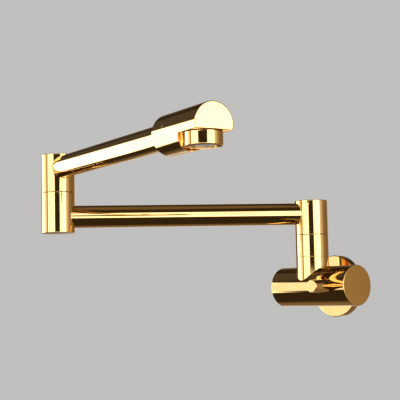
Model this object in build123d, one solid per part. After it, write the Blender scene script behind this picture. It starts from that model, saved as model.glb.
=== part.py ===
"""Wall-mounted pot filler: a quarter-turn valve, two swivelling arms and a spout head.

Millimetres. The origin is the centre of the wall flange's back face, on the wall.
+Z is up, +Y goes into the wall and the tap stands out from it towards -Y.
Each function makes one piece, and PIECES at the end names the file of each.
"""
from build123d import *
import math
import os

# ---- Driving dimensions --------------------------------------------------------------

# Wall side
INLET_THREAD_R = 10.4775      # G1/2 outside thread
INLET_THREAD_LENGTH = 18.0    # what goes into the wall fitting
NIPPLE_SHANK_R = 10.2         # the nipple's end inside the valve body
NIPPLE_SHANK_LENGTH = 12.0
NIPPLE_KEY_AF = 12.0          # hexagon for the fitting key, right through
FLANGE_R = 31.5
FLANGE_DEPTH = 7.5
FLANGE_WALL = 2.0
NECK_R = 13.0                 # the body's inlet neck
NECK_END_GAP = 0.5            # from the neck's end to the wall
BODY_OFFSET = 36.5            # valve axis to the wall

# Valve body
BODY_R = 20.0
BODY_LEFT = -42.9             # closed end
BODY_RIGHT = 23.6             # seam to the handle
RISER_LEAD = 2.5              # riser axis in front of the valve's own axis
RISER_TOP = 30.0              # seam to the collar
RISER_SOCKET_R = 12.0
RISER_SOCKET_DEPTH = 11.0
CHAMBER_R = 10.5
CHAMBER_FLOOR = 8.0
INLET_BORE_R = 6.5
GALLERY_R = 5.5
RISER_DRILL_R = 3.5
RISER_DRILL_FROM = (4.0, 20.0)    # X and Z where the slanting drill starts
RISER_DRILL_TO = (15.5, 7.5)      # X and Z where it breaks into the chamber

# Cartridge
SEAT_SEAL_THICKNESS = 2.0
SEAT_SEAL_BORE_R = 6.6
DISC_R = 8.4
DISC_THICKNESS = 2.5
DISC_GAP = 0.02               # between the two lapped faces
DISC_PORT_R = 7.0
DISC_CORE_R = 2.4             # what is left between the two ports
DISC_PORT_ANGLE = 80.0
HOUSING_WALL = 2.0
HOUSING_HEX_AF = 24.0
HOUSING_HEX_THICKNESS = 5.0
WINDOW_WIDTH = 9.0
WINDOW_LENGTH = 4.0
STEM_R = 4.5
STEM_FLANGE_R = 7.6
STEM_FLANGE_THICKNESS = 1.8
STEM_SHAFT_END = 33.1
SERRATIONS = 20
SERRATION_TIP_R = 4.0
SERRATION_ROOT_R = 3.55
SERRATION_LENGTH = 10.0

# Handle
HANDLE_END = 56.6
HANDLE_POCKET_GAP = 1.6       # round the corners of the bonnet's hexagon
LEVER_R = 6.25
LEVER_REACH = 24.0            # beyond the handle's surface
LEVER_X = 37.1
STUD_R = 3.0
STUD_LENGTH = 6.0
SET_SCREW_R = 2.5
SET_SCREW_LENGTH = 6.0
SET_SCREW_X = 39.6
SET_SCREW_KEY_AF = 2.5
SET_SCREW_KEY_DEPTH = 2.5

# Posts and swivels
POST_R = 16.5
COLLAR_TOP = 52.0             # seam between the riser collar and the lower arm
COLLAR_THREAD_LENGTH = 10.0
LOWER_SLEEVE_TOP = 87.0
ELBOW_BOTTOM = 57.5
ELBOW_FLOOR = 3.5             # thickness under the elbow's bore
ELBOW_SEAM = 97.0             # seam between the lower and the upper arm
UPPER_SLEEVE_TOP = 135.0
SPIGOT_R = 9.0
SPIGOT_BORE_R = 6.0
SPIGOT_RISE = 12.0            # from the seam to the spigot's top
BEARING_LENGTH = 11.0         # of the sleeve's bore, from the seam
CHAMBER_WALL = 4.5            # sleeve wall round the water chamber
SLEEVE_ROOF = 2.5
WASHER_THICKNESS = 0.5
WASHER_INSET = 0.7            # of the washer's edge from the post's surface
O_RING_WIDTH = 2.2
O_RING_DEPTH = 1.6            # groove in the sleeve's bearing bore
O_RING_HEIGHT = 7.0           # from the seam to the ring's underside
LOCK_SCREW_R = 2.0
LOCK_SCREW_HEIGHT = 3.6       # from the seam to the screw's axis
LOCK_SCREW_RECESS = 0.6       # below the post's surface
LOCK_SCREW_KEY_AF = 2.0
LOCK_SCREW_KEY_DEPTH = 2.0
LOCK_SCREW_PLAY = 0.15        # between the screw's tip and the groove that it rides in
LOCK_GROOVE_DEPTH = 1.5

# Arms
TUBE_R = 11.0
TUBE_WALL = 1.2
LOWER_ARM_LENGTH = 255.0      # riser axis to elbow axis
LOWER_ARM_Z = 73.5
LOWER_ARM_ANGLE = 237.0       # degrees from +X, as photographed
UPPER_ARM_Z = 121.9
UPPER_ARM_ANGLE = -9.8

# Spout head, along the upper arm from the elbow's axis
HEAD_R = 17.0
COLLAR_START = 231.0
HEAD_START = 248.0
HEAD_END = 300.0
HEAD_SOCKET_DEPTH = 9.0
OUTLET_AT = 283.5
NOTCH_R = 19.85
CEILING_DROP = 4.5            # the cut-away underside, below the arm's axis
WATERWAY_R = 5.5
WATERWAY_RISE = 4.5
WATERWAY_END = 290.0
OUTLET_BORE_R = 8.0
OUTLET_THREAD_R = 11.0
OUTLET_THREAD_LENGTH = 5.0
AERATOR_R = 15.0
AERATOR_BOTTOM_DROP = 15.5    # below the arm's axis
AERATOR_LIP_R = 10.3
AERATOR_LIP_THICKNESS = 1.2
INSERT_CELLS = 4              # square holes across the insert
INSERT_CELL = 2.9
INSERT_RIB = 0.9

# Clearances
RUNNING = 0.05                # radial, parts that turn on each other
THREAD = 0.03                 # radial, parts screwed together
FACE = 0.3                    # between faces that pass each other

# ---- Places worked out from them -----------------------------------------------------

VALVE = Pos(0, -BODY_OFFSET, 0)
RISER = VALVE * Pos(0, -RISER_LEAD, 0)
ELBOW = RISER * Rot(0, 0, LOWER_ARM_ANGLE) * Pos(LOWER_ARM_LENGTH, 0, 0)
LOWER_ARM = RISER * Pos(0, 0, LOWER_ARM_Z) * Rot(0, 0, LOWER_ARM_ANGLE)
UPPER_ARM = Pos(ELBOW.position) * Pos(0, 0, UPPER_ARM_Z) * Rot(0, 0, UPPER_ARM_ANGLE)

BACKWARDS = Rot(0, -90, 0)    # turns +Z to point away from an arm's tube
RISER_LOCK = LOWER_ARM * Pos(0, 0, COLLAR_TOP + LOCK_SCREW_HEIGHT - LOWER_ARM_Z) * BACKWARDS
ELBOW_LOCK = UPPER_ARM * Pos(0, 0, ELBOW_SEAM + LOCK_SCREW_HEIGHT - UPPER_ARM_Z) * BACKWARDS
LEVER_SIDE = Pos(LEVER_X, 0, 0) * Rot(90, 0, 0)
SCREW_SIDE = Pos(SET_SCREW_X, 0, 0) * Rot(180, 0, 0)

NOTCH_ALIGN = (Align.MIN, Align.CENTER, Align.MAX)        # outwards and down from the outlet

HOUSING_START = CHAMBER_FLOOR + SEAT_SEAL_THICKNESS
MOVING_DISC_START = HOUSING_START + DISC_THICKNESS + DISC_GAP
STEM_START = MOVING_DISC_START + DISC_THICKNESS
HOUSING_CAVITY_END = STEM_START + STEM_FLANGE_THICKNESS + FACE
HANDLE_POCKET_R = HOUSING_HEX_AF / math.sqrt(3) + HANDLE_POCKET_GAP
HANDLE_POCKET_END = STEM_SHAFT_END + FACE
STEM_END = STEM_SHAFT_END + SERRATION_LENGTH
SLEEVE_CHAMBER_R = POST_R - CHAMBER_WALL
O_RING_GROOVE_R = SPIGOT_R + O_RING_DEPTH
LOCK_FLOOR_R = SPIGOT_R - LOCK_GROOVE_DEPTH


# ---- Shapes that repeat --------------------------------------------------------------

def rod(radius, start, end):
    """A round bar along +Z."""
    low = (Align.CENTER, Align.CENTER, Align.MIN)
    return Pos(0, 0, start) * Cylinder(radius, end - start, align=low)


def ring(outer, inner, start, end):
    """A plain ring round Z."""
    return rod(outer, start, end) - rod(inner, start, end)


def hexagon(across_flats, start, end):
    """A hexagonal bar along +Z."""
    corner = across_flats / math.sqrt(3)
    return Pos(0, 0, start) * extrude(RegularPolygon(corner, 6), end - start)


def along_x(shape):
    """Lays a shape made along +Z down along +X."""
    return Rot(0, 90, 0) * shape


def along_y(shape):
    """Turns a shape made along +Z to point along +Y."""
    return Rot(-90, 0, 0) * shape


def serrated_bar(tip, root, start, end):
    """A bar along +Z with pointed teeth all round."""
    outline = []
    for corner in range(2 * SERRATIONS):
        angle = corner * math.pi / SERRATIONS
        radius = root if corner % 2 else tip
        outline.append((radius * math.cos(angle), radius * math.sin(angle)))
    return Pos(0, 0, start) * extrude(make_face(Polyline(*outline, close=True)), end - start)


def grub_screw(radius, tip, head, key_af, key_depth):
    """A headless screw along +Z with a hexagon socket."""
    return rod(radius, tip, head) - hexagon(key_af, head - key_depth, head)


def port_pair(outer, start, end):
    """The two opposite sectors that are open in a ceramic disc."""
    reach = 2 * outer
    half = reach * math.tan(math.radians(DISC_PORT_ANGLE / 2))
    outline = Polyline((0, 0), (reach, half), (reach, -half), close=True)
    wedge = Pos(0, 0, start) * extrude(make_face(outline), end - start)
    sectors = (wedge + Rot(0, 0, 180) * wedge) & rod(outer, start, end)
    return sectors - rod(DISC_CORE_R, start, end)


def swivel_spigot(seam):
    """The pin that an arm turns on, standing on a seam, with the groove for its lock screw."""
    middle = seam + LOCK_SCREW_HEIGHT
    half = LOCK_SCREW_R + LOCK_SCREW_PLAY
    pin = rod(SPIGOT_R, seam, seam + SPIGOT_RISE)
    return pin - ring(SPIGOT_R + 1, LOCK_FLOOR_R, middle - half, middle + half)


def swivel_hollow(seam, top):
    """The inside of a post that turns on a spigot: bearing bore, seal groove, water chamber."""
    seal = seam + O_RING_HEIGHT
    bearing_end = seam + BEARING_LENGTH
    hollow = rod(SPIGOT_R + RUNNING, seam, bearing_end)
    hollow += rod(O_RING_GROOVE_R, seal, seal + O_RING_WIDTH)
    return hollow + rod(SLEEVE_CHAMBER_R, bearing_end, top - SLEEVE_ROOF)


def lock_hole():
    """The threaded hole for a swivel's lock screw, along +Z from a post's axis."""
    return rod(LOCK_SCREW_R + THREAD, LOCK_FLOOR_R, POST_R + 1)


def lock_screw():
    """A swivel's lock screw along +Z, its tip in the spigot's groove."""
    tip = LOCK_FLOOR_R + LOCK_SCREW_PLAY
    head = POST_R - LOCK_SCREW_RECESS
    return grub_screw(LOCK_SCREW_R, tip, head, LOCK_SCREW_KEY_AF, LOCK_SCREW_KEY_DEPTH)


# ---- Wall side -----------------------------------------------------------------------

def wall_flange():
    """Pressed cover plate, hollow behind, that slides along the inlet neck."""
    cup = rod(FLANGE_R, 0, FLANGE_DEPTH)
    cup -= rod(FLANGE_R - FLANGE_WALL, 0, FLANGE_DEPTH - FLANGE_WALL)
    cup -= rod(NECK_R + RUNNING, 0, FLANGE_DEPTH)
    return along_y(Rot(180, 0, 0) * cup)


def inlet_nipple():
    """Threaded nipple between the wall fitting and the valve body."""
    thread = rod(INLET_THREAD_R, 0, INLET_THREAD_LENGTH)
    shank = rod(NIPPLE_SHANK_R, -NIPPLE_SHANK_LENGTH, 0)
    key = hexagon(NIPPLE_KEY_AF, -NIPPLE_SHANK_LENGTH, INLET_THREAD_LENGTH)
    return along_y(thread + shank - key)


def valve_body():
    """Casting with the inlet neck, the cartridge chamber and the riser stub."""
    riser = Pos(0, -RISER_LEAD, 0)
    body = along_x(rod(BODY_R, BODY_LEFT, BODY_RIGHT)) + riser * rod(POST_R, 0, RISER_TOP)
    neck_end = BODY_OFFSET - NECK_END_GAP
    body += along_y(rod(NECK_R, 0, neck_end))
    socket_floor = BODY_OFFSET - NIPPLE_SHANK_LENGTH - FACE
    body -= along_y(rod(NIPPLE_SHANK_R + THREAD, socket_floor, neck_end))
    body -= along_y(rod(INLET_BORE_R, 0, socket_floor))
    body -= along_x(rod(GALLERY_R, 0, CHAMBER_FLOOR))
    body -= along_x(rod(CHAMBER_R, CHAMBER_FLOOR, BODY_RIGHT))
    body -= riser * rod(RISER_SOCKET_R, RISER_TOP - RISER_SOCKET_DEPTH, RISER_TOP)
    start = Vector(RISER_DRILL_FROM[0], -RISER_LEAD, RISER_DRILL_FROM[1])
    way = Vector(RISER_DRILL_TO[0], 0, RISER_DRILL_TO[1]) - start
    body -= Plane(origin=start, z_dir=way) * rod(RISER_DRILL_R, 0, way.length)
    return VALVE * body


def riser_spigot():
    """Turned collar that screws into the riser stub and carries the lower arm."""
    thread_r = RISER_SOCKET_R - THREAD
    thread_start = RISER_TOP - COLLAR_THREAD_LENGTH
    piece = rod(thread_r, thread_start, RISER_TOP)
    piece += rod(POST_R, RISER_TOP, COLLAR_TOP)
    piece += swivel_spigot(COLLAR_TOP)
    return RISER * (piece - rod(SPIGOT_BORE_R, thread_start, COLLAR_TOP + SPIGOT_RISE))


# ---- Cartridge -----------------------------------------------------------------------

def cartridge_seat_seal():
    """Rubber ring that seals the cartridge against the chamber's floor."""
    seal = ring(CHAMBER_R - FACE, SEAT_SEAL_BORE_R, CHAMBER_FLOOR, HOUSING_START)
    return VALVE * along_x(seal)


def cartridge_housing():
    """Screwed bonnet that holds the ceramic discs and guides the stem."""
    outer = CHAMBER_R - THREAD
    cavity = outer - HOUSING_WALL
    end = BODY_RIGHT + HOUSING_HEX_THICKNESS
    housing = rod(outer, HOUSING_START, BODY_RIGHT)
    housing += hexagon(HOUSING_HEX_AF, BODY_RIGHT, end)
    housing -= rod(cavity, HOUSING_START, HOUSING_CAVITY_END)
    housing -= rod(STEM_R + RUNNING, HOUSING_CAVITY_END, end)
    middle = MOVING_DISC_START + WINDOW_LENGTH / 2
    window = Box(4 * outer, WINDOW_WIDTH, WINDOW_LENGTH)
    return VALVE * along_x(housing - Pos(0, 0, middle) * window)


def ceramic_disc_fixed():
    """Lower disc with its two ports."""
    end = HOUSING_START + DISC_THICKNESS
    disc = rod(DISC_R, HOUSING_START, end)
    return VALVE * along_x(disc - port_pair(DISC_PORT_R, HOUSING_START, end))


def ceramic_disc_moving():
    """Upper disc, whose two notches open to the housing's windows."""
    disc = rod(DISC_R, MOVING_DISC_START, STEM_START)
    return VALVE * along_x(disc - port_pair(DISC_R + 1, MOVING_DISC_START, STEM_START))


def cartridge_stem():
    """Serrated stem that turns the upper disc."""
    stem = rod(STEM_FLANGE_R, STEM_START, STEM_START + STEM_FLANGE_THICKNESS)
    stem += rod(STEM_R, STEM_START + STEM_FLANGE_THICKNESS, STEM_SHAFT_END)
    stem += serrated_bar(SERRATION_TIP_R, SERRATION_ROOT_R, STEM_SHAFT_END, STEM_END)
    return VALVE * along_x(stem)


# ---- Handle --------------------------------------------------------------------------

def handle_shell():
    """Turning sleeve: a pocket for the bonnet, then a serrated socket in solid metal."""
    start = BODY_RIGHT + FACE
    shell = rod(BODY_R, start, HANDLE_END)
    shell -= rod(HANDLE_POCKET_R, start, HANDLE_POCKET_END)
    tip = SERRATION_TIP_R + RUNNING
    root = SERRATION_ROOT_R + RUNNING
    shell -= serrated_bar(tip, root, HANDLE_POCKET_END, STEM_END + FACE)
    stud_hole = rod(STUD_R + THREAD, BODY_R - STUD_LENGTH - FACE, BODY_R + 1)
    screw_hole = rod(SET_SCREW_R + THREAD, SERRATION_ROOT_R, BODY_R + 1)
    return VALVE * (along_x(shell) - LEVER_SIDE * stud_hole - SCREW_SIDE * screw_hole)


def lever_pin():
    """Round lever, screwed into the handle by its stud, its base cut to the handle's round."""
    pin = rod(LEVER_R, 0, BODY_R + LEVER_REACH)
    handle = Rot(0, 90, 0) * rod(BODY_R + THREAD, -LEVER_R - 1, LEVER_R + 1)
    pin = pin - handle + rod(STUD_R, BODY_R - STUD_LENGTH, BODY_R + 1)
    return VALVE * LEVER_SIDE * pin


def handle_set_screw():
    """Grub screw that holds the handle on the stem."""
    tip = SERRATION_TIP_R + RUNNING
    head = tip + SET_SCREW_LENGTH
    screw = grub_screw(SET_SCREW_R, tip, head, SET_SCREW_KEY_AF, SET_SCREW_KEY_DEPTH)
    return VALVE * SCREW_SIDE * screw


# ---- Swivel rings and screws ---------------------------------------------------------

def swivel_washers():
    """Thin plastic bearing washers that show as the dark seams of the posts."""
    def washer(seam):
        return ring(POST_R - WASHER_INSET, SPIGOT_R + RUNNING, seam, seam + WASHER_THICKNESS)
    return Compound(children=[RISER * washer(COLLAR_TOP), ELBOW * washer(ELBOW_SEAM)])


def swivel_o_rings():
    """Seals between each spigot and the groove in its sleeve."""
    def seal(seam):
        low = seam + O_RING_HEIGHT + RUNNING
        high = low + O_RING_WIDTH - 2 * RUNNING
        return ring(O_RING_GROOVE_R - RUNNING, SPIGOT_R + RUNNING / 2, low, high)
    return Compound(children=[RISER * seal(COLLAR_TOP), ELBOW * seal(ELBOW_SEAM)])


def riser_lock_screw():
    """Holds the lower arm down on the riser, at the back of the post."""
    return RISER_LOCK * lock_screw()


def elbow_lock_screw():
    """Holds the upper arm down on the elbow, at the back of the post."""
    return ELBOW_LOCK * lock_screw()


# ---- Arms ----------------------------------------------------------------------------

def lower_arm():
    """Soldered arm: the riser post's sleeve, the tube and the elbow's lower half."""
    arm = RISER * rod(POST_R, COLLAR_TOP + WASHER_THICKNESS, LOWER_SLEEVE_TOP)
    arm += LOWER_ARM * along_x(rod(TUBE_R, 0, LOWER_ARM_LENGTH))
    arm += ELBOW * rod(POST_R, ELBOW_BOTTOM, ELBOW_SEAM)
    arm += ELBOW * swivel_spigot(ELBOW_SEAM)
    arm -= LOWER_ARM * along_x(rod(TUBE_R - TUBE_WALL, 0, LOWER_ARM_LENGTH))
    arm -= ELBOW * rod(SPIGOT_BORE_R, ELBOW_BOTTOM + ELBOW_FLOOR, ELBOW_SEAM + SPIGOT_RISE)
    return arm - RISER * swivel_hollow(COLLAR_TOP, LOWER_SLEEVE_TOP) - RISER_LOCK * lock_hole()


def upper_arm():
    """Soldered arm: the elbow's upper half, the tube and the collar behind the spout head."""
    tube_end = HEAD_START + HEAD_SOCKET_DEPTH - FACE
    arm = ELBOW * rod(POST_R, ELBOW_SEAM + WASHER_THICKNESS, UPPER_SLEEVE_TOP)
    arm += UPPER_ARM * along_x(rod(TUBE_R, 0, tube_end))
    arm += UPPER_ARM * along_x(rod(HEAD_R, COLLAR_START, HEAD_START))
    arm -= UPPER_ARM * along_x(rod(TUBE_R - TUBE_WALL, 0, tube_end))
    return arm - ELBOW * swivel_hollow(ELBOW_SEAM, UPPER_SLEEVE_TOP) - ELBOW_LOCK * lock_hole()


# ---- Spout head ----------------------------------------------------------------------

def spout_head():
    """Round head, cut away below round the outlet, with a D-shaped end face."""
    head = along_x(rod(HEAD_R, HEAD_START, HEAD_END))
    outlet = Pos(OUTLET_AT, 0, 0)
    under = -CEILING_DROP
    out_to_end = Pos(0, 0, under) * Box(NOTCH_R, 2 * NOTCH_R, HEAD_R, align=NOTCH_ALIGN)
    head -= outlet * (rod(NOTCH_R, under - HEAD_R, under) + out_to_end)
    thread_end = under - OUTLET_THREAD_LENGTH
    head += outlet * rod(OUTLET_THREAD_R, thread_end, under)
    socket_end = HEAD_START + HEAD_SOCKET_DEPTH
    head -= along_x(rod(TUBE_R + THREAD, HEAD_START, socket_end))
    head -= Pos(0, 0, WATERWAY_RISE) * along_x(rod(WATERWAY_R, socket_end, WATERWAY_END))
    return UPPER_ARM * (head - outlet * rod(OUTLET_BORE_R, thread_end, WATERWAY_RISE))


def aerator_housing():
    """Round cap screwed on the outlet, with a lip that holds the insert."""
    top = -CEILING_DROP - FACE
    bottom = -AERATOR_BOTTOM_DROP
    cap = rod(AERATOR_R, bottom, top) - rod(AERATOR_LIP_R, bottom, top)
    cap -= rod(OUTLET_THREAD_R + THREAD, bottom + AERATOR_LIP_THICKNESS, top)
    return UPPER_ARM * Pos(OUTLET_AT, 0, 0) * cap


def aerator_insert():
    """Plastic disc with a sealing rim and a grid of square holes, clamped by the housing."""
    top = -CEILING_DROP - OUTLET_THREAD_LENGTH
    bottom = -AERATOR_BOTTOM_DROP + AERATOR_LIP_THICKNESS
    pitch = INSERT_CELL + INSERT_RIB
    cell = Box(INSERT_CELL, INSERT_CELL, 4 * AERATOR_BOTTOM_DROP)
    insert = rod(OUTLET_THREAD_R, bottom, top)
    insert -= [place * cell for place in GridLocations(pitch, pitch, INSERT_CELLS, INSERT_CELLS)]
    return UPPER_ARM * Pos(OUTLET_AT, 0, 0) * insert


PIECES = {
    "wall_flange": wall_flange,
    "inlet_nipple": inlet_nipple,
    "valve_body": valve_body,
    "riser_spigot": riser_spigot,
    "cartridge_seat_seal": cartridge_seat_seal,
    "cartridge_housing": cartridge_housing,
    "ceramic_disc_fixed": ceramic_disc_fixed,
    "ceramic_disc_moving": ceramic_disc_moving,
    "cartridge_stem": cartridge_stem,
    "handle_shell": handle_shell,
    "lever_pin": lever_pin,
    "handle_set_screw": handle_set_screw,
    "swivel_washers": swivel_washers,
    "swivel_o_rings": swivel_o_rings,
    "riser_lock_screw": riser_lock_screw,
    "elbow_lock_screw": elbow_lock_screw,
    "lower_arm": lower_arm,
    "upper_arm": upper_arm,
    "spout_head": spout_head,
    "aerator_housing": aerator_housing,
    "aerator_insert": aerator_insert,
}

os.makedirs("parts", exist_ok=True)
for name, make in PIECES.items():
    export_step(make(), f"parts/{name}.step")
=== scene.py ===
"""Looks of a wall mounted pot filler in polished gold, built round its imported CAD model.

Shapes are worked out in millimetres and put into the meshes in metres. +Z is up and the tap
stands out from the wall towards -Y. Every turned or drawn part is a grid of points, rows by
columns, computed as whole numpy arrays: rings carried round an axis or along an arm.
"""

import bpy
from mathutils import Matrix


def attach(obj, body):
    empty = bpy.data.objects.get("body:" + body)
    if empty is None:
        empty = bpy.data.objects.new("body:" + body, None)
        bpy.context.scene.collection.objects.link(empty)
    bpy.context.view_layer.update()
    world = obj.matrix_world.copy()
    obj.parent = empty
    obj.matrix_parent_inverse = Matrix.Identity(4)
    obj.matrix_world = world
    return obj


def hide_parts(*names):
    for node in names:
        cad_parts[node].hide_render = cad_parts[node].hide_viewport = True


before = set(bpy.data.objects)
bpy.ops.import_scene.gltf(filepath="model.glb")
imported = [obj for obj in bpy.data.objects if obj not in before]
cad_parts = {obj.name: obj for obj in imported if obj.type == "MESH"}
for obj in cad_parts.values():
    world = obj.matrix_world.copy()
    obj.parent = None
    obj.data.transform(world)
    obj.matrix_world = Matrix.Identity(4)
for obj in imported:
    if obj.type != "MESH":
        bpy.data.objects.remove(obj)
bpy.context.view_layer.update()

import math

import bpy
import numpy as np
from bpy.props import FloatProperty, FloatVectorProperty, PointerProperty
from mathutils import Matrix, Vector

bl_info = {
    "name": "Pot Filler Looks",
    "version": (1, 0, 0),
    "blender": (4, 5, 0),
    "location": "View3D > Sidebar > Pot Filler",
    "description": "Builds the visible surfaces and finishes of a wall mounted pot filler",
    "category": "Object",
}

COLUMNS = 160                 # points round every turned part
TURN = np.linspace(0, 2 * np.pi, COLUMNS, endpoint=False)
CORNER_STEPS = 4              # rows of faces over a softened corner
FILLET_RINGS = 6              # rings of points over a solder fillet

# Where things stand, in millimetres, as in the CAD model
LOWER_ANGLE = math.radians(237.0)
UPPER_ANGLE = math.radians(-9.8)
ALONG_LOWER = np.array([math.cos(LOWER_ANGLE), math.sin(LOWER_ANGLE), 0])
ALONG_UPPER = np.array([math.cos(UPPER_ANGLE), math.sin(UPPER_ANGLE), 0])
VALVE = np.array([0, -36.5, 0])
LEAD = 2.5                    # the riser's axis stands in front of the valve's
RISER = VALVE - [0, LEAD, 0]
ARM_LENGTH = 255.0
ELBOW = RISER + ARM_LENGTH * ALONG_LOWER
RISER_SEAM, ELBOW_SEAM = 52.0, 97.0                     # heights of the two swivels' seams
LOWER_START = RISER + [0, 0, 73.5]
UPPER_START = ELBOW + [0, 0, 121.9]
TUBE_ROOT = 14.2              # a tube's end lies in a post's wall, so far from the post's axis
HEAD_START, HEAD_END, OUTLET_AT = 248.0, 300.0, 283.5   # along the second arm
OUTLET = UPPER_START + OUTLET_AT * ALONG_UPPER
UNDERSIDE = -4.5              # the cut-away underside of the spout head, from the arm's axis
SOCKET = 11.03                # radius of the head's socket and of the aerator cap's bore
WATER_WAY = 6.0               # radius of the bore through the swivels' spigots
X, Y, Z = np.eye(3)


# ---- Settings a user would change ----------------------------------------------------

def length(name, text, metres):
    """A size property, in metres."""
    return FloatProperty(name=name, description=text, default=metres, min=0, precision=5,
                         subtype="DISTANCE", unit="LENGTH")


def colour(name, text, value):
    """A colour property, as linear red, green and blue."""
    return FloatVectorProperty(name=name, description=text, default=value, subtype="COLOR",
                               size=3, min=0, max=1)


def amount(name, text, value):
    """A plain number property."""
    return FloatProperty(name=name, description=text, default=value, min=0, precision=4)


class PotFillerSizes(bpy.types.PropertyGroup):
    """Radii of the parts and of their softened edges."""
    post: length("Post radius", "Outside of both swivel posts", 0.0165)
    tube: length("Tube radius", "Outside of both arms", 0.011)
    bore: length("Tube bore radius", "Inside of both arms", 0.0098)
    body: length("Body radius", "Outside of the valve body and the handle", 0.020)
    head: length("Head radius", "Outside of the spout head and its collar", 0.017)
    neck: length("Neck radius", "Outside of the neck to the wall", 0.013)
    flange: length("Flange radius", "Outside of the wall plate", 0.0315)
    lever: length("Lever radius", "Outside of the lever", 0.00625)
    aerator: length("Aerator radius", "Outside of the outlet's cap", 0.015)
    edge: length("Edge", "How far a free edge is polished back", 0.0007)
    seam: length("Seam edge", "How far an edge beside a seam is broken", 0.00025)
    solder: length("Solder fillet", "Radius of the hollow where a tube is soldered on", 0.0004)


class PotFillerFinish(bpy.types.PropertyGroup):
    """Colours and gloss of the finishes."""
    gold: colour("Gold", "Polished gold plating", (0.90, 0.60, 0.25))
    deep_gold: colour("Deep gold", "The plating's darker clouds", (0.86, 0.56, 0.215))
    gloss: amount("Gold roughness", "Blur of the reflections in the plating", 0.045)
    brass: colour("Bare brass", "Machined brass inside and behind", (0.80, 0.56, 0.24))
    rubber: colour("Rubber", "Seals", (0.018, 0.018, 0.019))
    ceramic: colour("Ceramic", "Valve discs", (0.78, 0.76, 0.70))
    washer: colour("Washer plastic", "Bearing washers in the seams", (0.030, 0.026, 0.022))
    insert: colour("Insert plastic", "Aerator insert", (0.62, 0.62, 0.60))
    steel: colour("Steel", "Grub screws", (0.56, 0.56, 0.55))


class PotFillerStudio(bpy.types.PropertyGroup):
    """Camera, background and light."""
    camera: FloatVectorProperty(name="Camera", description="Where the camera stands", size=3,
                                default=(0.744521, -0.818278, -0.005987), precision=5,
                                subtype="TRANSLATION", unit="LENGTH")
    yaw: FloatProperty(name="Yaw", description="Camera's turn about the vertical",
                       default=0.86739, subtype="ANGLE", unit="ROTATION")
    pitch: FloatProperty(name="Pitch", description="How far the camera looks down, as an angle",
                         default=-0.08962, subtype="ANGLE", unit="ROTATION")
    roll: FloatProperty(name="Roll", description="Camera's turn about its own view",
                        default=-0.02156, subtype="ANGLE", unit="ROTATION")
    lens: amount("Lens", "Focal length in millimetres on a 36 mm sensor", 94.967)
    backdrop: colour("Backdrop", "Pale background", (0.53, 0.525, 0.515))
    floor: colour("Floor", "Pale floor", (0.62, 0.61, 0.595))
    panels: amount("Panels", "Brightness of the softboxes that the metal mirrors", 1.0)
    tent: colour("Tent", "Cloth round the softboxes", (1.0, 0.72, 0.42))
    shade: amount("Tent shade", "Brightness of the tent's unlit cloth", 0.036)


def sizes():
    """The sizes group in millimetres, as a plain object."""
    group = bpy.context.scene.pot_filler_sizes
    return type("Sizes", (), {key: 1000 * getattr(group, key) for key in group.__annotations__})


# ---- Grids of points -----------------------------------------------------------------

def soften(path, cut):
    """Breaks each inner corner of a path, whose last two axes are its points and coordinates.

    The corner is cut back on both sides, by at most 45% of the shorter side, and bridged by
    the parabola (1-k)^2 before + 2k(1-k) corner + k^2 after, with k from 0 to 1.
    """
    path = np.asarray(path, float)
    before, corner, after = path[..., :-2, :], path[..., 1:-1, :], path[..., 2:, :]
    cut = np.broadcast_to(cut, corner.shape[:-1])[..., None]

    def back_from_corner(other):
        way = other - corner
        size = np.linalg.norm(way, axis=-1, keepdims=True)
        return corner + way * np.minimum(cut, 0.45 * size) / np.maximum(size, 1e-9)

    a, b = back_from_corner(before)[..., None, :], back_from_corner(after)[..., None, :]
    k = np.linspace(0, 1, CORNER_STEPS + 1)[:, None]
    arc = (1 - k) ** 2 * a + 2 * k * (1 - k) * corner[..., None, :] + k ** 2 * b
    arc = arc.reshape(*path.shape[:-2], -1, path.shape[-1])
    return np.concatenate([path[..., :1, :], arc, path[..., -1:, :]], axis=-2)


def skinned(corner_rings, cut):
    """Joins rings into one surface and softens its corners, column by column."""
    return np.swapaxes(soften(np.stack(corner_rings, axis=1), cut), 0, 1)


def rings(radius, height, axis=2, turn=TURN):
    """Rings round a main axis: (r cos t, r sin t, h) for Z, and the same in turn for X and Y.

    radius holds one value for each ring, or a row of them where it changes round the ring.
    """
    if radius.ndim == 1:
        radius = radius[:, None]
    grid = np.broadcast_arrays(radius * np.cos(turn), radius * np.sin(turn), height[:, None])
    return np.roll(np.stack(grid, -1), (axis + 1) % 3, axis=-1)


def turned(profile, cut, axis=2):
    """A profile of (radius, height) corners, softened and carried round an axis."""
    return rings(*soften(profile, cut).T, axis)


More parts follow.
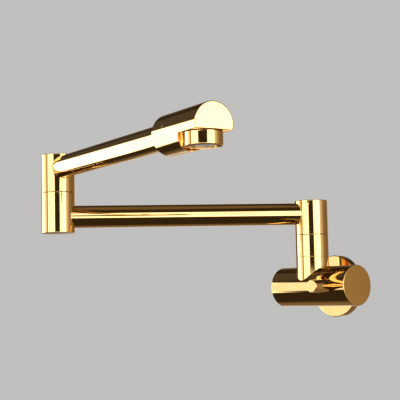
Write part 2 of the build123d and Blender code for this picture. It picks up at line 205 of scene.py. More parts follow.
def drilled(profile, cut, radius, height, hole, floor, towards=0.0, axis=2):
    """A turned shape with a round blind hole in its wall.

    The rows beside the hole are spaced like the columns. A square window of the grid is left
    out there and filled with rows that run from its rim, on the round, to the hole's edge
    and then down the hole. A point at `side` across the hole lies at the angle asin(side / r).
    """
    margin, mouth_cut, foot_cut, patch_rows = 0.25, 0.12, 0.05, 6
    step = 2 * np.pi / COLUMNS
    pitch = step * radius
    half = math.ceil((hole + margin) / pitch)
    outline = soften(profile, cut)
    on_wall = np.abs(outline[:, 0] - radius) < 1e-6
    passes = (outline[:-1, 1] - height) * (outline[1:, 1] - height) < 0
    at = int(np.flatnonzero(on_wall[:-1] & on_wall[1:] & passes)[0])
    order = np.sign(outline[at + 1, 1] - outline[at, 1])
    extra = height + order * pitch * np.arange(-half, half + 1)
    extra = np.stack([np.full_like(extra, radius), extra], -1)
    outline = np.insert(outline, at + 1, extra, axis=0)
    main = rings(*outline.T, axis, TURN + towards - half * step)

    count = 2 * half
    k = np.arange(count)
    across = np.concatenate([k, np.full(count, count), count - k, np.zeros(count)]) - half
    up = np.concatenate([np.zeros(count), k, np.full(count, count), count - k]) - half
    way = np.arctan2(up, across)
    side, rise = hole * np.cos(way), hole * np.sin(way)
    w = np.linspace(0, 1, patch_rows)[:, None]
    angle = (1 - w) * across * step + w * np.arcsin(side / radius)
    lift = (1 - w) * up * pitch + w * rise
    on_round = np.stack([radius * np.cos(angle), radius * np.sin(angle), lift], -1)
    foot = np.stack([np.full_like(side, floor), side, rise], -1)
    down = skinned([*on_round[-2:], foot, foot * [1, 0, 0]], [mouth_cut, foot_cut])
    patch = np.concatenate([on_round[:-2], down])
    c, s = math.cos(towards), math.sin(towards)
    patch = patch @ np.array([[c, s, 0], [-s, c, 0], [0, 0, 1]]) + [0, 0, height]
    window = (slice(at + 1, at + 1 + count), slice(0, count))
    return [(main, window), (np.roll(patch, (axis + 1) % 3, axis=-1), None)]


def plain_ring(radius, along):
    """A ring round an arm: (along, r sin t, r cos t)."""
    return np.stack(np.broadcast_arrays(along, radius * np.sin(TURN), radius * np.cos(TURN)), -1)


def coped_ring(radius, onto, lead=0.0):
    """The ring where an arm meets a crossing round: along = sqrt(onto^2 - (r sin t + lead)^2).

    lead is how far the arm's axis passes beside the round's.
    """
    return plain_ring(radius, np.sqrt(onto ** 2 - (radius * np.sin(TURN) + lead) ** 2))


def fillet(radius, onto, size, lead=0.0):
    """Rings of the hollow between an arm and a crossing round.

    A ball of that size rolls in the corner: its centre keeps arm radius + size from the one
    axis and round radius + size from the other, and each ring turns about it from the point
    where it touches the round to the point where it touches the arm.
    """
    centre = coped_ring(radius + size, onto + size, lead)
    shrink_round, shrink_arm = onto / (onto + size), radius / (radius + size)
    start = (centre + [0, lead, 0]) * [shrink_round - 1, shrink_round - 1, 0]
    end = centre * [1, shrink_arm, shrink_arm] - centre
    bend = np.arccos(np.clip(np.sum(start * end, -1, keepdims=True) / size ** 2, -1, 1))
    k = np.linspace(0, 1, FILLET_RINGS)[:, None, None]
    return centre + (np.sin((1 - k) * bend) * start + np.sin(k * bend) * end) / np.sin(bend)


def carried(grid, origin, along, up=Z):
    """Turns a grid of (along, side, up) into the shared frame and moves it to its origin."""
    return grid @ np.stack([along, np.cross(up, along), up]) + origin


# ---- From grids to meshes ------------------------------------------------------------

def shell(parts):
    """One closed shell from grids whose rims meet.

    Points less than about a thousandth of a unit apart become one, faces that shrink to a
    line go, and the faces are turned outwards where the enclosed volume, the sum of the
    corners' triple products, comes out negative. Returns points, four-sided faces and
    triangles.
    """
    points, faces, first = [], [], 0
    for grid, window in parts:
        number = np.arange(grid[..., 0].size).reshape(grid.shape[:2]) + first
        beside = np.roll(number, -1, axis=1)
        cells = np.stack([number[:-1], beside[:-1], beside[1:], number[1:]], -1)
        kept = np.ones(cells.shape[:2], bool)
        if window:
            kept[window] = False
        points.append(grid.reshape(-1, 3))
        faces.append(cells[kept])
        first += number.size
    points, faces = np.concatenate(points), np.concatenate(faces)
    off_round = 0.137         # keeps the usual coordinates away from the rounding's steps
    _, kept, merged = np.unique(np.round(points * 1000 + off_round), axis=0,
                                return_index=True, return_inverse=True)
    points, faces = points[kept], merged.reshape(-1)[faces]
    same = faces == np.roll(faces, -1, axis=1)
    crossed = (faces[:, 0] == faces[:, 2]) | (faces[:, 1] == faces[:, 3])
    fours = faces[(same.sum(1) == 0) & ~crossed]
    once = (same.sum(1) == 1) & ~crossed
    threes = faces[once][~same[once]].reshape(-1, 3)
    corners = np.concatenate([fours[:, :3], fours[:, [0, 2, 3]], threes])
    a, b, c = np.moveaxis(points[corners], 1, 0)
    if np.sum(a * np.cross(b, c)) < 0:
        fours, threes = fours[:, ::-1], threes[:, ::-1]
    return points, fours, threes


def smooth_normals(points, fours, threes):
    """Normal of each point: the sum of its faces' normals, each weighed by its area squared."""
    normals = np.zeros_like(points)
    for faces, ends in ((fours, (0, 2, 1, 3)), (threes, (0, 1, 0, 2))):
        p = points[faces]
        area = np.cross(p[:, ends[1]] - p[:, ends[0]], p[:, ends[3]] - p[:, ends[2]])
        area *= np.linalg.norm(area, axis=-1, keepdims=True)
        np.add.at(normals, faces.reshape(-1), np.repeat(area, faces.shape[1], axis=0))
    return normals / np.maximum(np.linalg.norm(normals, axis=-1, keepdims=True), 1e-20)


def add_piece(name, shells, material, body, nodes):
    """Puts shells into one mesh object that rides on a body and stands for its CAD nodes."""
    points, normals, faces, first = [], [], [], 0
    for parts in shells:
        p, fours, threes = shell(parts if isinstance(parts, list) else [(parts, None)])
        points.append(p)
        normals.append(smooth_normals(p, fours, threes))
        faces += (fours + first).tolist() + (threes + first).tolist()
        first += len(p)
    mesh = bpy.data.meshes.new(name)
    mesh.from_pydata(np.concatenate(points) / 1000, [], faces)
    mesh.shade_smooth()
    mesh.normals_split_custom_set_from_vertices(np.concatenate(normals))
    if mesh.validate(verbose=False):
        raise RuntimeError(f"{name} has faulty faces")
    mesh.materials.append(material)
    piece = bpy.data.objects.new(name, mesh)
    bpy.context.scene.collection.objects.link(piece)
    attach(piece, body)
    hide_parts(*nodes)
    return piece


# ---- Finishes ------------------------------------------------------------------------

class Tree:
    """Adds nodes to one node tree. A socket given as an input is linked, and a value is set."""

    def __init__(self, tree):
        self.tree = tree
        tree.nodes.clear()

    def add(self, kind, inputs=None, **settings):
        node = self.tree.nodes.new(kind)
        for key, value in settings.items():
            setattr(node, key, value)
        for key, value in (inputs or {}).items():
            if isinstance(value, bpy.types.NodeSocket):
                self.tree.links.new(value, node.inputs[key])
            else:
                node.inputs[key].default_value = value
        return node

    def math(self, operation, *values):
        inputs = dict(enumerate(values))
        return self.add("ShaderNodeMath", inputs, operation=operation).outputs[0]

    def spread(self, value, low, high, to_low, to_high, kind="LINEAR"):
        inputs = {0: value, 1: low, 2: high, 3: to_low, 4: to_high}
        return self.add("ShaderNodeMapRange", inputs, interpolation_type=kind).outputs[0]

    def mix(self, factor, first, second):
        node = self.add("ShaderNodeMix", {0: factor}, data_type="RGBA")
        node.inputs["A"].default_value = (*first, 1)
        node.inputs["B"].default_value = (*second, 1)
        return node.outputs["Result"]

    def noise(self, place, scale, detail=3.0, roughness=0.5):
        inputs = {"Vector": place, "Scale": scale, "Detail": detail, "Roughness": roughness}
        return self.add("ShaderNodeTexNoise", inputs).outputs["Fac"]


def finish(name, colours, roughness, clouds, waves, metallic=0.0, stretch=(1, 1, 1), ior=1.5):
    """A procedural finish: clouds of two colours and of roughness, and a fine bump.

    clouds is the scale of the colour's noise. waves lists (scale, height in metres) for each
    layer of noise in the bump. stretch draws the noise out, as turning and brushing marks do.
    """
    material = bpy.data.materials.get(name)
    if material:              # made for an earlier piece
        return material
    material = bpy.data.materials.new(name)
    material.use_nodes = True
    tree = Tree(material.node_tree)
    place = tree.add("ShaderNodeTexCoord").outputs["Object"]
    place = tree.add("ShaderNodeMapping", {"Vector": place, "Scale": stretch}).outputs[0]
    cloud = tree.noise(place, clouds, 4.0, 0.55)
    tone = tree.mix(tree.spread(cloud, 0.35, 0.65, 0.0, 1.0), *colours)
    blur = tree.spread(tree.noise(place, clouds * 3.1, 5.0, 0.6), 0.3, 0.7, *roughness)
    height = None
    for scale, size in waves:
        layer = tree.math("MULTIPLY", tree.noise(place, scale, 2.0), size)
        height = layer if height is None else tree.math("ADD", height, layer)
    bump = tree.add("ShaderNodeBump", {"Height": height, "Distance": 1.0, "Strength": 1.0})
    shader = tree.add("ShaderNodeBsdfPrincipled", {
        "Base Color": tone, "Roughness": blur, "Metallic": metallic, "IOR": ior,
        "Normal": bump.outputs[0]})
    tree.add("ShaderNodeOutputMaterial", {"Surface": shader.outputs[0]})
    return material


def polished_gold():
    """Mirror-polished plating: soft colour clouds, slight polishing waves, hardly any blur."""
    f = bpy.context.scene.pot_filler_finish
    return finish("mirror_gold", (f.gold, f.deep_gold), (f.gloss * 0.7, f.gloss * 1.4), 22.0,
                  [(26.0, 9e-6), (240.0, 3e-7)], metallic=1.0)


def bare_brass():
    """Machined brass, with turning marks across its length."""
    f = bpy.context.scene.pot_filler_finish
    dull = tuple(0.82 * c for c in f.brass)
    return finish("machined_brass", (f.brass, dull), (0.22, 0.38), 40.0,
                  [(900.0, 2.5e-6)], metallic=1.0, stretch=(1, 4, 1))


def add_gold(name, shells, body, node):
    """A piece in polished gold that stands for one CAD node."""
    add_piece(name, shells, polished_gold(), body, [node])


# ---- Pieces --------------------------------------------------------------------------

class Build:
    """Shared settings of the piece operators."""
    bl_options = {"REGISTER", "UNDO"}


class POTFILLER_OT_flange(Build, bpy.types.Operator):
    """Pressed wall plate: a shallow cup, hollow behind, with a polished rim"""
    bl_idname = "pot_filler.flange"
    bl_label = "Wall Flange"

    def execute(self, context):
        s = sizes()
        hole, inside = s.neck + 0.05, s.flange - 2
        front, middle, back, wall = -7.5, -6.5, -5.5, 0
        profile = [(hole, middle), (hole, front), (s.flange, front), (s.flange, wall),
                   (inside, wall), (inside, back), (hole, back), (hole, middle)]
        cup = turned(profile, [0.15, 1.1, 0.2, 0.2, 0.8, 0.15], axis=1)
        add_gold("flange_plate", [cup], "wall_body", "wall_flange")
        return {"FINISHED"}


class POTFILLER_OT_nipple(Build, bpy.types.Operator):
    """Wall nipple with its helical thread and its hexagon for a fitting key"""
    bl_idname = "pot_filler.nipple"
    bl_label = "Inlet Nipple"

    def execute(self, context):
        crest, depth, pitch, run_out, chamfer = 10.4775, 1.162, 1.814, 1.2, 0.3   # thread
        start, shank_end, end = -12.0, -0.1, 18.0
        shank, cut, key = 10.2, 0.2, 6.0      # shank, its bevel, half of the hexagon's width
        height = np.arange(0, end, pitch / 10)
        phase = height[:, None] / pitch - TURN / (2 * np.pi)
        fade = np.clip(height / run_out, 0, 1) * np.clip((end - height) / run_out, 0, 1)
        thread = crest - depth * (0.5 - 0.5 * np.cos(2 * np.pi * phase)) * fade[:, None]
        thread -= chamfer * np.clip(height[:, None] - end + 1, 0, 1)
        corner = (TURN + math.pi / 6) % (math.pi / 3) - math.pi / 6
        hexagon = (key / np.cos(corner))[None]
        rim = np.full((1, COLUMNS), shank - cut)
        radius = np.concatenate([hexagon, rim, rim + cut, rim + cut, thread, rim, hexagon,
                                 hexagon])
        level = np.concatenate([[start, start, start + cut, shank_end], height,
                                [end, end, start]])
        nipple = rings(radius, level, axis=1)
        add_piece("wall_nipple", [nipple], bare_brass(), "wall_body", ["inlet_nipple"])
        return {"FINISHED"}


class POTFILLER_OT_valve(Build, bpy.types.Operator):
    """Valve casting: the level round body, the riser stub and the neck to the wall"""
    bl_idname = "pot_filler.valve"
    bl_label = "Valve Body"

    def execute(self, context):
        s = sizes()
        left, seam = -42.9, 23.6
        chamber, chamber_floor, inner, inner_floor = 10.5, 8, 5.5, 1    # for the cartridge
        profile = [(0, left), (s.body, left), (s.body, seam), (chamber, seam),
                   (chamber, chamber_floor), (inner, chamber_floor), (inner, inner_floor),
                   (0, inner_floor)]
        body = turned(profile, [s.edge, s.seam, 0.3, 0.1, 0.1, 0.1], axis=0) + VALVE
        deep = s.body - 0.5                   # the stub and the neck end inside the body
        root = [0] * (FILLET_RINGS + 1)       # and their own rings there aren't softened
        socket, stub_top, socket_floor = 12, 30, 19
        stub = [plain_ring(0, 14), coped_ring(s.post, deep, LEAD),
                *fillet(s.post, s.body, s.solder, LEAD), plain_ring(s.post, stub_top),
                plain_ring(socket, stub_top), plain_ring(socket, socket_floor),
                plain_ring(0, socket_floor)]
        stub = carried(skinned(stub, root + [s.seam, 0.2, 0.1]), RISER, Z, X)
        socket, bore, neck_end, socket_floor, bore_floor = 10.23, 6.5, 36, 24.2, 20.5
        neck = [plain_ring(0, 12), coped_ring(s.neck, deep), *fillet(s.neck, s.body, s.solder),
                plain_ring(s.neck, neck_end), plain_ring(socket, neck_end),
                plain_ring(socket, socket_floor), plain_ring(bore, socket_floor),
                plain_ring(bore, bore_floor), plain_ring(0, bore_floor)]
        neck = carried(skinned(neck, root + [0.3, 0.2, 0.1, 0.1, 0.1]), VALVE, Y, X)
        add_gold("valve_casting", [body, stub, neck], "wall_body", "valve_body")
        return {"FINISHED"}


def spigot(seam):
    """Corners (radius, height) of a swivel's pin above its seam, with the lock groove."""
    pin, groove, top = 9, 7.5, seam + 12
    return [(pin, seam), (pin, seam + 1.45), (groove, seam + 1.45), (groove, seam + 5.75),
            (pin, seam + 5.75), (pin, top), (WATER_WAY, top)]


def swivel_post(s, axis_at, seam, top, arm_angle):
    """A post that turns on a spigot, with its lock screw's hole on the side away from the arm.

    Its profile runs from the roof of the water chamber, past the O-ring's groove in the bore,
    round to the top.
    """
    bore, groove, chamber, roof, foot = 9.05, 10.6, 12, top - 2.5, seam + 0.5
    profile = [(0, roof), (chamber, roof), (chamber, seam + 11), (bore, seam + 11),
               (bore, seam + 9.2), (groove, seam + 9.2), (groove, seam + 7), (bore, seam + 7),
               (bore, foot), (s.post, foot), (s.post, top), (0, top)]
    soft = [0.2, 0.1, 0.1, 0.05, 0.1, 0.1, 0.05, 0.3, s.seam, s.edge]
    lock_height, lock_hole, lock_floor = seam + 3.6, 2.03, 9.5
    grids = drilled(profile, soft, s.post, lock_height, lock_hole, lock_floor,
                    arm_angle + math.pi)
    return [(grid + axis_at, window) for grid, window in grids]


class POTFILLER_OT_collar(Build, bpy.types.Operator):
    """Riser collar with the spigot that carries the first arm"""
    bl_idname = "pot_filler.collar"
    bl_label = "Riser Collar"

    def execute(self, context):
        s = sizes()
        plug, foot, seat, middle = 11.97, 20, 30, 40
        profile = [(WATER_WAY, middle), (WATER_WAY, foot), (plug, foot), (plug, seat),
                   (s.post, seat), (s.post, RISER_SEAM), *spigot(RISER_SEAM),
                   (WATER_WAY, middle)]
        soft = [0.2, 0.4, 0.05, s.seam, s.seam, 0.05, 0.1, 0.1, 0.1, 0.1, 0.4, 0.2]
        add_gold("riser_collar", [turned(profile, soft) + RISER], "wall_body", "riser_spigot")
        return {"FINISHED"}


class POTFILLER_OT_first_arm(Build, bpy.types.Operator):
    """First arm: the riser post's sleeve, the tube and the elbow's lower half, soldered"""
    bl_idname = "pot_filler.first_arm"
    bl_label = "First Arm"

    def execute(self, context):
        s = sizes()
        post_top, foot, water_floor = 87, 57.5, 61
        post = swivel_post(s, RISER, RISER_SEAM, post_top, LOWER_ANGLE)
        profile = [(0, foot), (s.post, foot), (s.post, ELBOW_SEAM), *spigot(ELBOW_SEAM),
                   (WATER_WAY, water_floor), (0, water_floor)]
        soft = [s.edge, s.seam, 0.05, 0.1, 0.1, 0.1, 0.1, 0.4, 0.2, 0.1]
        elbow = turned(profile, soft) + ELBOW
        near = [coped_ring(s.bore, TUBE_ROOT), coped_ring(s.tube, TUBE_ROOT),
                *fillet(s.tube, s.post, s.solder)]
        far = [ring * [-1, 1, 1] + [ARM_LENGTH, 0, 0] for ring in reversed(near)]
        tube = carried(np.stack(near + far + near[:1]), LOWER_START, ALONG_LOWER)
        add_gold("first_arm", [post, elbow, tube], "lower_arm", "lower_arm")
        return {"FINISHED"}


class POTFILLER_OT_second_arm(Build, bpy.types.Operator):
    """Second arm: the elbow's upper half, the tube and the collar behind the spout head"""
    bl_idname = "pot_filler.second_arm"
    bl_label = "Second Arm"

    def execute(self, context):
        s = sizes()
        post_top, tube_end, bevel = 135, 256.7, 0.2
        post = swivel_post(s, ELBOW, ELBOW_SEAM, post_top, UPPER_ANGLE)
        tube = np.stack([coped_ring(s.bore, TUBE_ROOT), coped_ring(s.tube, TUBE_ROOT),
                         *fillet(s.tube, s.post, s.solder),
                         plain_ring(s.tube, tube_end - bevel),
                         plain_ring(s.tube - bevel, tube_end), plain_ring(s.bore, tube_end),
                         coped_ring(s.bore, TUBE_ROOT)])
        inside, start, middle = s.tube - 0.5, 231, 240
        collar = [plain_ring(inside, middle), plain_ring(inside, start),
                  plain_ring(s.head, start), plain_ring(s.head, HEAD_START),
                  plain_ring(inside, HEAD_START), plain_ring(inside, middle)]
        collar = skinned(collar, [0.1, 0.6 * s.edge, 0.6 * s.seam, 0.1])
        tube, collar = (carried(g, UPPER_START, ALONG_UPPER) for g in (tube, collar))
        add_gold("second_arm", [post, tube, collar], "upper_arm", "upper_arm")
        return {"FINISHED"}


class POTFILLER_OT_spout(Build, bpy.types.Operator):
    """Spout head: a round bar with a D-shaped end, its underside cut away round the outlet"""
    bl_idname = "pot_filler.spout"
    bl_label = "Spout Head"

    def execute(self, context):
        s = sizes()
        corner, notch = 0.9, 19.85            # radii
        over_points, flat_points, corner_points = 110, 61, 9
        # The end's outline: the round, a small corner ball, the straight underside, a corner
        level = UNDERSIDE + corner
        side = math.sqrt((s.head - corner) ** 2 - level ** 2)
        turn_in = math.atan2(side, level)
        over = np.linspace(-turn_in, turn_in, over_points)
        ball = np.linspace(turn_in, math.pi, corner_points)[1:-1]
        flat = np.linspace(side, -side, flat_points)
        down = math.pi - np.arcsin(flat / s.head)
        right = np.linspace(turn_in, down[0], corner_points)[1:-1]
        angle = np.concatenate([over, right, down, 2 * math.pi - right[::-1]])
        circle = np.stack([np.sin(angle), np.cos(angle)], -1)
        bend = np.stack([side + corner * np.sin(ball), level + corner * np.cos(ball)], -1)
        end = np.concatenate([s.head * circle[:over_points], bend,
                              np.stack([flat, np.full_like(flat, UNDERSIDE)], -1),
                              bend[::-1] * [-1, 1]])
        # Where the notch, a round about the outlet, leaves the head's own round
        reach = np.abs(s.head * circle[:, 0])
        reach[:over_points] = s.head * math.sin(turn_in)
        start = OUTLET_AT - np.sqrt(notch ** 2 - reach ** 2)

        def ring(along, outline):
            along = np.broadcast_to(along, angle.shape)[:, None]
            return np.concatenate([along, outline], axis=1)

        socket_end, face_centre = HEAD_START + 9, np.array([[0, 4.0]])
        head = skinned([ring(socket_end, 0 * circle), ring(socket_end, SOCKET * circle),
                        ring(HEAD_START, SOCKET * circle), ring(HEAD_START, s.head * circle),
                        ring(start, s.head * circle), ring(start, end), ring(HEAD_END, end),
                        ring(HEAD_END, 0 * end + face_centre)],
                       [0.1, 0.2, 0.6 * s.seam, 0.35, 0.3, 1.5 * s.edge])
        head = carried(head, UPPER_START, ALONG_UPPER)
        outer, bore, middle, top, foot = 11, 8, 9.5, -3, -9.5
        pipe = [(middle, top), (outer, top), (outer, foot), (bore, foot), (bore, top),
                (middle, top)]
        pipe = turned(pipe, [0.1, 0.3, 0.2, 0.1]) + OUTLET
        add_gold("spout_end", [head, pipe], "upper_arm", "spout_head")
        return {"FINISHED"}


class POTFILLER_OT_aerator(Build, bpy.types.Operator):
    """Outlet cap: a round cap with a turned-in lip that holds the aerator insert"""
    bl_idname = "pot_filler.aerator"
    bl_label = "Aerator Housing"

    def execute(self, context):
        s = sizes()
        top, middle, lip_top, foot, lip = -4.8, -8, -14.3, -15.5, 10.3
        profile = [(SOCKET, middle), (SOCKET, top), (s.aerator, top), (s.aerator, foot),
                   (lip, foot), (lip, lip_top), (SOCKET, lip_top), (SOCKET, middle)]
        cap = turned(profile, [0.2, 0.35, 0.8, 0.4, 0.1, 0.1]) + OUTLET
        add_gold("aerator_cap", [cap], "upper_arm", "aerator_housing")
        return {"FINISHED"}


class POTFILLER_OT_handle(Build, bpy.types.Operator):
    """Turning handle: the valve body's right-hand end, with its set screw's hole below"""
    bl_idname = "pot_filler.handle"
    bl_label = "Handle"

    def execute(self, context):
        s = sizes()
        seam, end, cavity, cavity_end, stem, stem_end = 23.9, 56.6, 15.46, 33.4, 4.05, 43.4
        profile = [(0, stem_end), (stem, stem_end), (stem, cavity_end), (cavity, cavity_end),
                   (cavity, seam), (s.body, seam), (s.body, end), (0, end)]
        screw_at, screw_hole, screw_floor = 39.6, 2.53, 5
        grids = drilled(profile, [0.05, 0.3, 0.3, 0.3, s.seam, s.edge], s.body, screw_at,
                        screw_hole, screw_floor, -math.pi / 2, axis=0)
        grids = [(grid + VALVE, window) for grid, window in grids]
        add_gold("handle_sleeve", [grids], "handle", "handle_shell")
        return {"FINISHED"}


class POTFILLER_OT_lever(Build, bpy.types.Operator):
    """Round lever, its base cut to the handle's round and its end polished over"""
    bl_idname = "pot_filler.lever"
    bl_label = "Lever"

    def execute(self, context):
        s = sizes()
        seat, tip, lever_at = s.body + 0.03, 44, 37.1
        base = [coped_ring(s.lever * w, seat) for w in (0, 0.3, 0.6, 0.9, 1)]
        lever = skinned([*base, plain_ring(s.lever, tip), plain_ring(0, tip)],
                        [0, 0, 0, 0.12, s.edge * 1.2])
        lever = carried(lever, VALVE + [lever_at, 0, 0], -Y, X)
        add_gold("lever_bar", [lever], "handle", "lever_pin")
        return {"FINISHED"}


class POTFILLER_OT_inside(Build, bpy.types.Operator):
    """Finishes of the pieces that keep their CAD shape: cartridge, seals, washers and screws"""
    bl_idname = "pot_filler.inside"
    bl_label = "Inside Finishes"

    def execute(self, context):
        f = context.scene.pot_filler_finish

        def pair(base, factor):
            return tuple(base), tuple(factor * c for c in base)

        brass = bare_brass()
        rubber = finish("moulded_rubber", pair(f.rubber, 1.7), (0.45, 0.65), 60.0,
                        [(1500.0, 2e-6)])
        ceramic = finish("lapped_ceramic", pair(f.ceramic, 0.93), (0.12, 0.22), 90.0,
                         [(2500.0, 4e-7)], ior=1.7)
        washer = finish("dark_acetal", pair(f.washer, 1.6), (0.35, 0.5), 80.0,
                        [(1200.0, 1e-6)])
        insert = finish("pale_acetal", pair(f.insert, 0.9), (0.3, 0.42), 70.0,
                        [(1000.0, 1e-6)])
        steel = finish("stainless_steel", pair(f.steel, 0.8), (0.2, 0.34), 120.0,
                       [(1800.0, 1e-6)], metallic=1.0, stretch=(1, 1, 5))
        finishes = {
            "cartridge_housing": brass, "cartridge_stem": brass, "cartridge_seat_seal": rubber,
            "swivel_o_rings": rubber, "ceramic_disc_fixed": ceramic,
            "ceramic_disc_moving": ceramic, "swivel_washers": washer, "aerator_insert": insert,
            "handle_set_screw": steel, "riser_lock_screw": steel, "elbow_lock_screw": steel,
        }
        for node, material in finishes.items():
            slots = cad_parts[node].material_slots
            if not slots:
                raise RuntimeError(f"{node} has no material slot")
            for slot in slots:
                slot.material = material
        return {"FINISHED"}


# ---- Stage ---------------------------------------------------------------------------

# What the metal mirrors: centre azimuth and half width, centre elevation and half height, and
# softness of the edge, all in degrees, then brightness. Azimuth 0 is +X and 90 is +Y.
SOFTBOXES = [                 # white panels and, last, the dark gap in the first of them
    (314, 64, 8, 24, 4, 2.4),
    (16, 20, 6, 20, 34, 0.80),
    (203, 15, -2, 21, 4, 3.4),
    (228, 10, 0, 18, 4, 1.35),
    (181, 9, 4, 14, 8, 0.25),
    (196, 20, 31, 17, 8, 0.045),
    (135, 15, -6, 16, 10, 0.55),
    (315.5, 17.5, 6.5, 5.8, 1, -2.4),   # mirrored as the dark band on the posts
    (315, 24, 11.7, 2.1, 0.4, -2.4),    # and, wider, on the aerator
]
WARM_PATCHES = [              # places where the tent's own cloth is lit
    (244, 7, 0, 40, 5, 0.40),
    (40, 24, 0, 34, 24, 0.10),
    (98, 62, -18, 45, 25, 0.19),
    (0, 180, 90, 20, 12, 0.15),
]
TENT_RADIUS, TENT_MIDDLE = 1.7, (-0.02, -0.15, 0.02)    # in metres, as all of the stage
FLOOR_HEIGHT, FLOOR_RINGS = -0.75, (0.0, 1.0, 3.0, 6.0)
LAMPS = {"key_lamp": ((-0.9, -2.6, 1.6), 46), "fill_lamp": ((2.4, -1.6, 1.2), 24)}
LAMP_SIZE, LAMP_AIM = 1.6, (-0.1, -0.15, 0.05)


def patches(tree, azimuth, elevation, boxes):
    """Sum of the boxes: each is a smooth step in azimuth times one in elevation."""
    total = None
    for centre, half, level, height, soft, bright in boxes:
        turn = tree.math("WRAP", tree.math("SUBTRACT", azimuth, centre), 180, -180)
        turn = tree.math("ABSOLUTE", turn)
        rise = tree.math("ABSOLUTE", tree.math("SUBTRACT", elevation, level))
        across = tree.spread(turn, half - soft / 2, half + soft / 2, bright, 0, "SMOOTHSTEP")
        up = tree.spread(rise, height - soft / 2, height + soft / 2, 1, 0, "SMOOTHSTEP")
        box = tree.math("MULTIPLY", across, up)
        total = box if total is None else tree.math("ADD", total, box)
    return total


def stage_material(name):
    """A stage surface's empty node material, which sends out no lamp light, and its tree."""
    material = bpy.data.materials.new(name)
    material.use_nodes = True
    material.cycles.emission_sampling = "NONE"
    return material, Tree(material.node_tree)


def tent_material(settings):
    """Dark warm cloth with white softboxes, by direction from the tent's middle."""
    material, tree = stage_material("studio_tent")
    place = tree.add("ShaderNodeTexCoord").outputs["Object"]
    way = tree.add("ShaderNodeVectorMath", {0: place}, operation="NORMALIZE").outputs[0]
    x, y, z = tree.add("ShaderNodeSeparateXYZ", {0: way}).outputs
    azimuth = tree.math("DEGREES", tree.math("ARCTAN2", y, x))
    elevation = tree.math("DEGREES", tree.math("ARCSINE", z))
    warmth = tree.math("ADD", patches(tree, azimuth, elevation, WARM_PATCHES), settings.shade)
    cloth = tree.add("ShaderNodeEmission", {"Color": (*settings.tent, 1), "Strength": warmth})
    light = tree.math("MAXIMUM", patches(tree, azimuth, elevation, SOFTBOXES), 0)
    light = tree.math("MULTIPLY", light, settings.panels)
    boxes = tree.add("ShaderNodeEmission", {"Color": (1, 1, 1, 1), "Strength": light})
    both = tree.add("ShaderNodeAddShader", {0: cloth.outputs[0], 1: boxes.outputs[0]})
    tree.add("ShaderNodeOutputMaterial", {"Surface": both.outputs[0]})
    return material


def floor_material(settings):
    """Pale matt floor that fades out towards its rim."""
    material, tree = stage_material("studio_floor")
    place = tree.add("ShaderNodeTexCoord").outputs["Object"]
    tone = tree.mix(tree.noise(place, 3.0), settings.floor, [0.97 * c for c in settings.floor])
    matt = tree.add("ShaderNodeBsdfDiffuse", {"Color": tone})
    clear = tree.add("ShaderNodeBsdfTransparent")
    away = tree.add("ShaderNodeVectorMath", {0: place}, operation="LENGTH").outputs["Value"]
    fade = tree.spread(away, 2.0, 5.8, 0, 1, "SMOOTHSTEP")
    both = tree.add("ShaderNodeMixShader", {0: fade, 1: matt.outputs[0], 2: clear.outputs[0]})
    tree.add("ShaderNodeOutputMaterial", {"Surface": both.outputs[0]})
    return material


def add_stage_mesh(name, grid, material, place=(0, 0, 0), glossy_only=False):
    """A stage surface from one grid, in metres, which may be seen by mirroring metal alone."""
    points, fours, threes = shell([(grid, None)])
    mesh = bpy.data.meshes.new(name)
    mesh.from_pydata(points, [], fours.tolist() + threes.tolist())
    mesh.materials.append(material)
    stage = bpy.data.objects.new(name, mesh)
    bpy.context.scene.collection.objects.link(stage)
    stage.location = place
    if glossy_only:
        stage.visible_camera = stage.visible_diffuse = stage.visible_shadow = False
        stage.visible_transmission = stage.visible_volume_scatter = False
    else:
        stage.visible_glossy = False


def add_camera(settings):
    """The camera, its level and upward axes turned by the roll about its view."""
    yaw, pitch, roll = settings.yaw, settings.pitch, settings.roll
    back = np.array([math.sin(yaw) * math.cos(pitch), -math.cos(yaw) * math.cos(pitch),
                     math.sin(pitch)])
    level = np.array([math.cos(yaw), math.sin(yaw), 0])
    upward = np.cross(back, level)
    right = math.cos(roll) * level + math.sin(roll) * upward
    upward = math.cos(roll) * upward - math.sin(roll) * level
    camera = bpy.data.objects.new("camera", bpy.data.cameras.new("camera"))
    camera.data.sensor_width, camera.data.lens = 36, settings.lens
    camera.data.clip_start, camera.data.clip_end = 0.05, 100
    camera.matrix_world = (Matrix.Translation(settings.camera)
                           @ Matrix(np.stack([right, upward, back], 1).tolist()).to_4x4())
    bpy.context.scene.collection.objects.link(camera)
    bpy.context.scene.camera = camera


def add_background(settings):
    """A plain pale world."""
    world = bpy.data.worlds.new("pale_studio")
    world.use_nodes = True
    tree = Tree(world.node_tree)
    plain = tree.add("ShaderNodeBackground", {"Color": (*settings.backdrop, 1), "Strength": 1.0})
    tree.add("ShaderNodeOutputWorld", {"Surface": plain.outputs[0]})
    bpy.context.scene.world = world


def add_lamp(name, place, power):
    """A soft square lamp, aimed at the tap, which the metal doesn't mirror."""
    lamp = bpy.data.objects.new(name, bpy.data.lights.new(name, "AREA"))
    lamp.data.size, lamp.data.energy = LAMP_SIZE, power
    lamp.location = place
    lamp.rotation_euler = (Vector(LAMP_AIM) - lamp.location).to_track_quat("-Z", "Y").to_euler()
    lamp.visible_glossy = False
    bpy.context.scene.collection.objects.link(lamp)


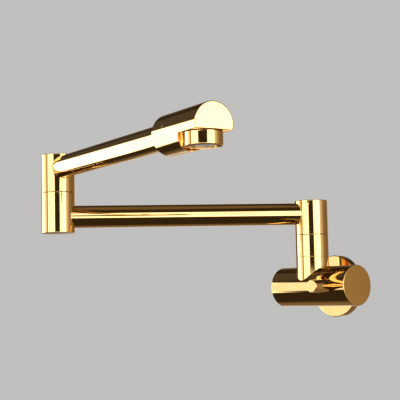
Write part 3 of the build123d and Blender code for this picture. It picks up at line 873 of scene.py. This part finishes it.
class POTFILLER_OT_stage(Build, bpy.types.Operator):
    """Camera at the photograph's angle, pale floor and background, and soft studio light"""
    bl_idname = "pot_filler.stage"
    bl_label = "Stage"

    def execute(self, context):
        settings = context.scene.pot_filler_studio
        context.scene.view_settings.view_transform = "Standard"
        add_camera(settings)
        add_background(settings)
        arc = np.linspace(-math.pi / 2, math.pi / 2, 49)
        tent = rings(TENT_RADIUS * np.cos(arc), TENT_RADIUS * np.sin(arc))
        add_stage_mesh("studio_tent", tent, tent_material(settings), TENT_MIDDLE,
                       glossy_only=True)
        disc = rings(np.array(FLOOR_RINGS), np.full(len(FLOOR_RINGS), FLOOR_HEIGHT))
        add_stage_mesh("studio_floor", disc, floor_material(settings))
        for name, (place, power) in LAMPS.items():
            add_lamp(name, place, power)
        return {"FINISHED"}


# ---- Add-on --------------------------------------------------------------------------

PIECE_OPERATORS = [
    POTFILLER_OT_flange, POTFILLER_OT_nipple, POTFILLER_OT_valve, POTFILLER_OT_collar,
    POTFILLER_OT_first_arm, POTFILLER_OT_second_arm, POTFILLER_OT_spout, POTFILLER_OT_aerator,
    POTFILLER_OT_handle, POTFILLER_OT_lever, POTFILLER_OT_inside, POTFILLER_OT_stage,
]


class POTFILLER_PT_panel(bpy.types.Panel):
    """Sizes, finishes and steps of the pot filler"""
    bl_idname = "POTFILLER_PT_panel"
    bl_label = "Pot Filler"
    bl_space_type = "VIEW_3D"
    bl_region_type = "UI"
    bl_category = "Pot Filler"

    def draw(self, context):
        for group in (context.scene.pot_filler_sizes, context.scene.pot_filler_finish,
                      context.scene.pot_filler_studio):
            box = self.layout.box()
            for key in group.__annotations__:
                box.prop(group, key)
        for operator in PIECE_OPERATORS:
            self.layout.operator(operator.bl_idname)


GROUPS = {"pot_filler_sizes": PotFillerSizes, "pot_filler_finish": PotFillerFinish,
          "pot_filler_studio": PotFillerStudio}


def register():
    for group in GROUPS.values():
        bpy.utils.register_class(group)
    for name, group in GROUPS.items():
        setattr(bpy.types.Scene, name, PointerProperty(type=group))
    for operator in (*PIECE_OPERATORS, POTFILLER_PT_panel):
        bpy.utils.register_class(operator)


def unregister():
    for operator in reversed((*PIECE_OPERATORS, POTFILLER_PT_panel)):
        bpy.utils.unregister_class(operator)
    for name, group in GROUPS.items():
        delattr(bpy.types.Scene, name)
        bpy.utils.unregister_class(group)


def main():
    register()
    for operator in PIECE_OPERATORS:
        group, step = operator.bl_idname.split(".")
        getattr(getattr(bpy.ops, group), step)()
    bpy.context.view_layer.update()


if __name__ == "__main__":
    main()
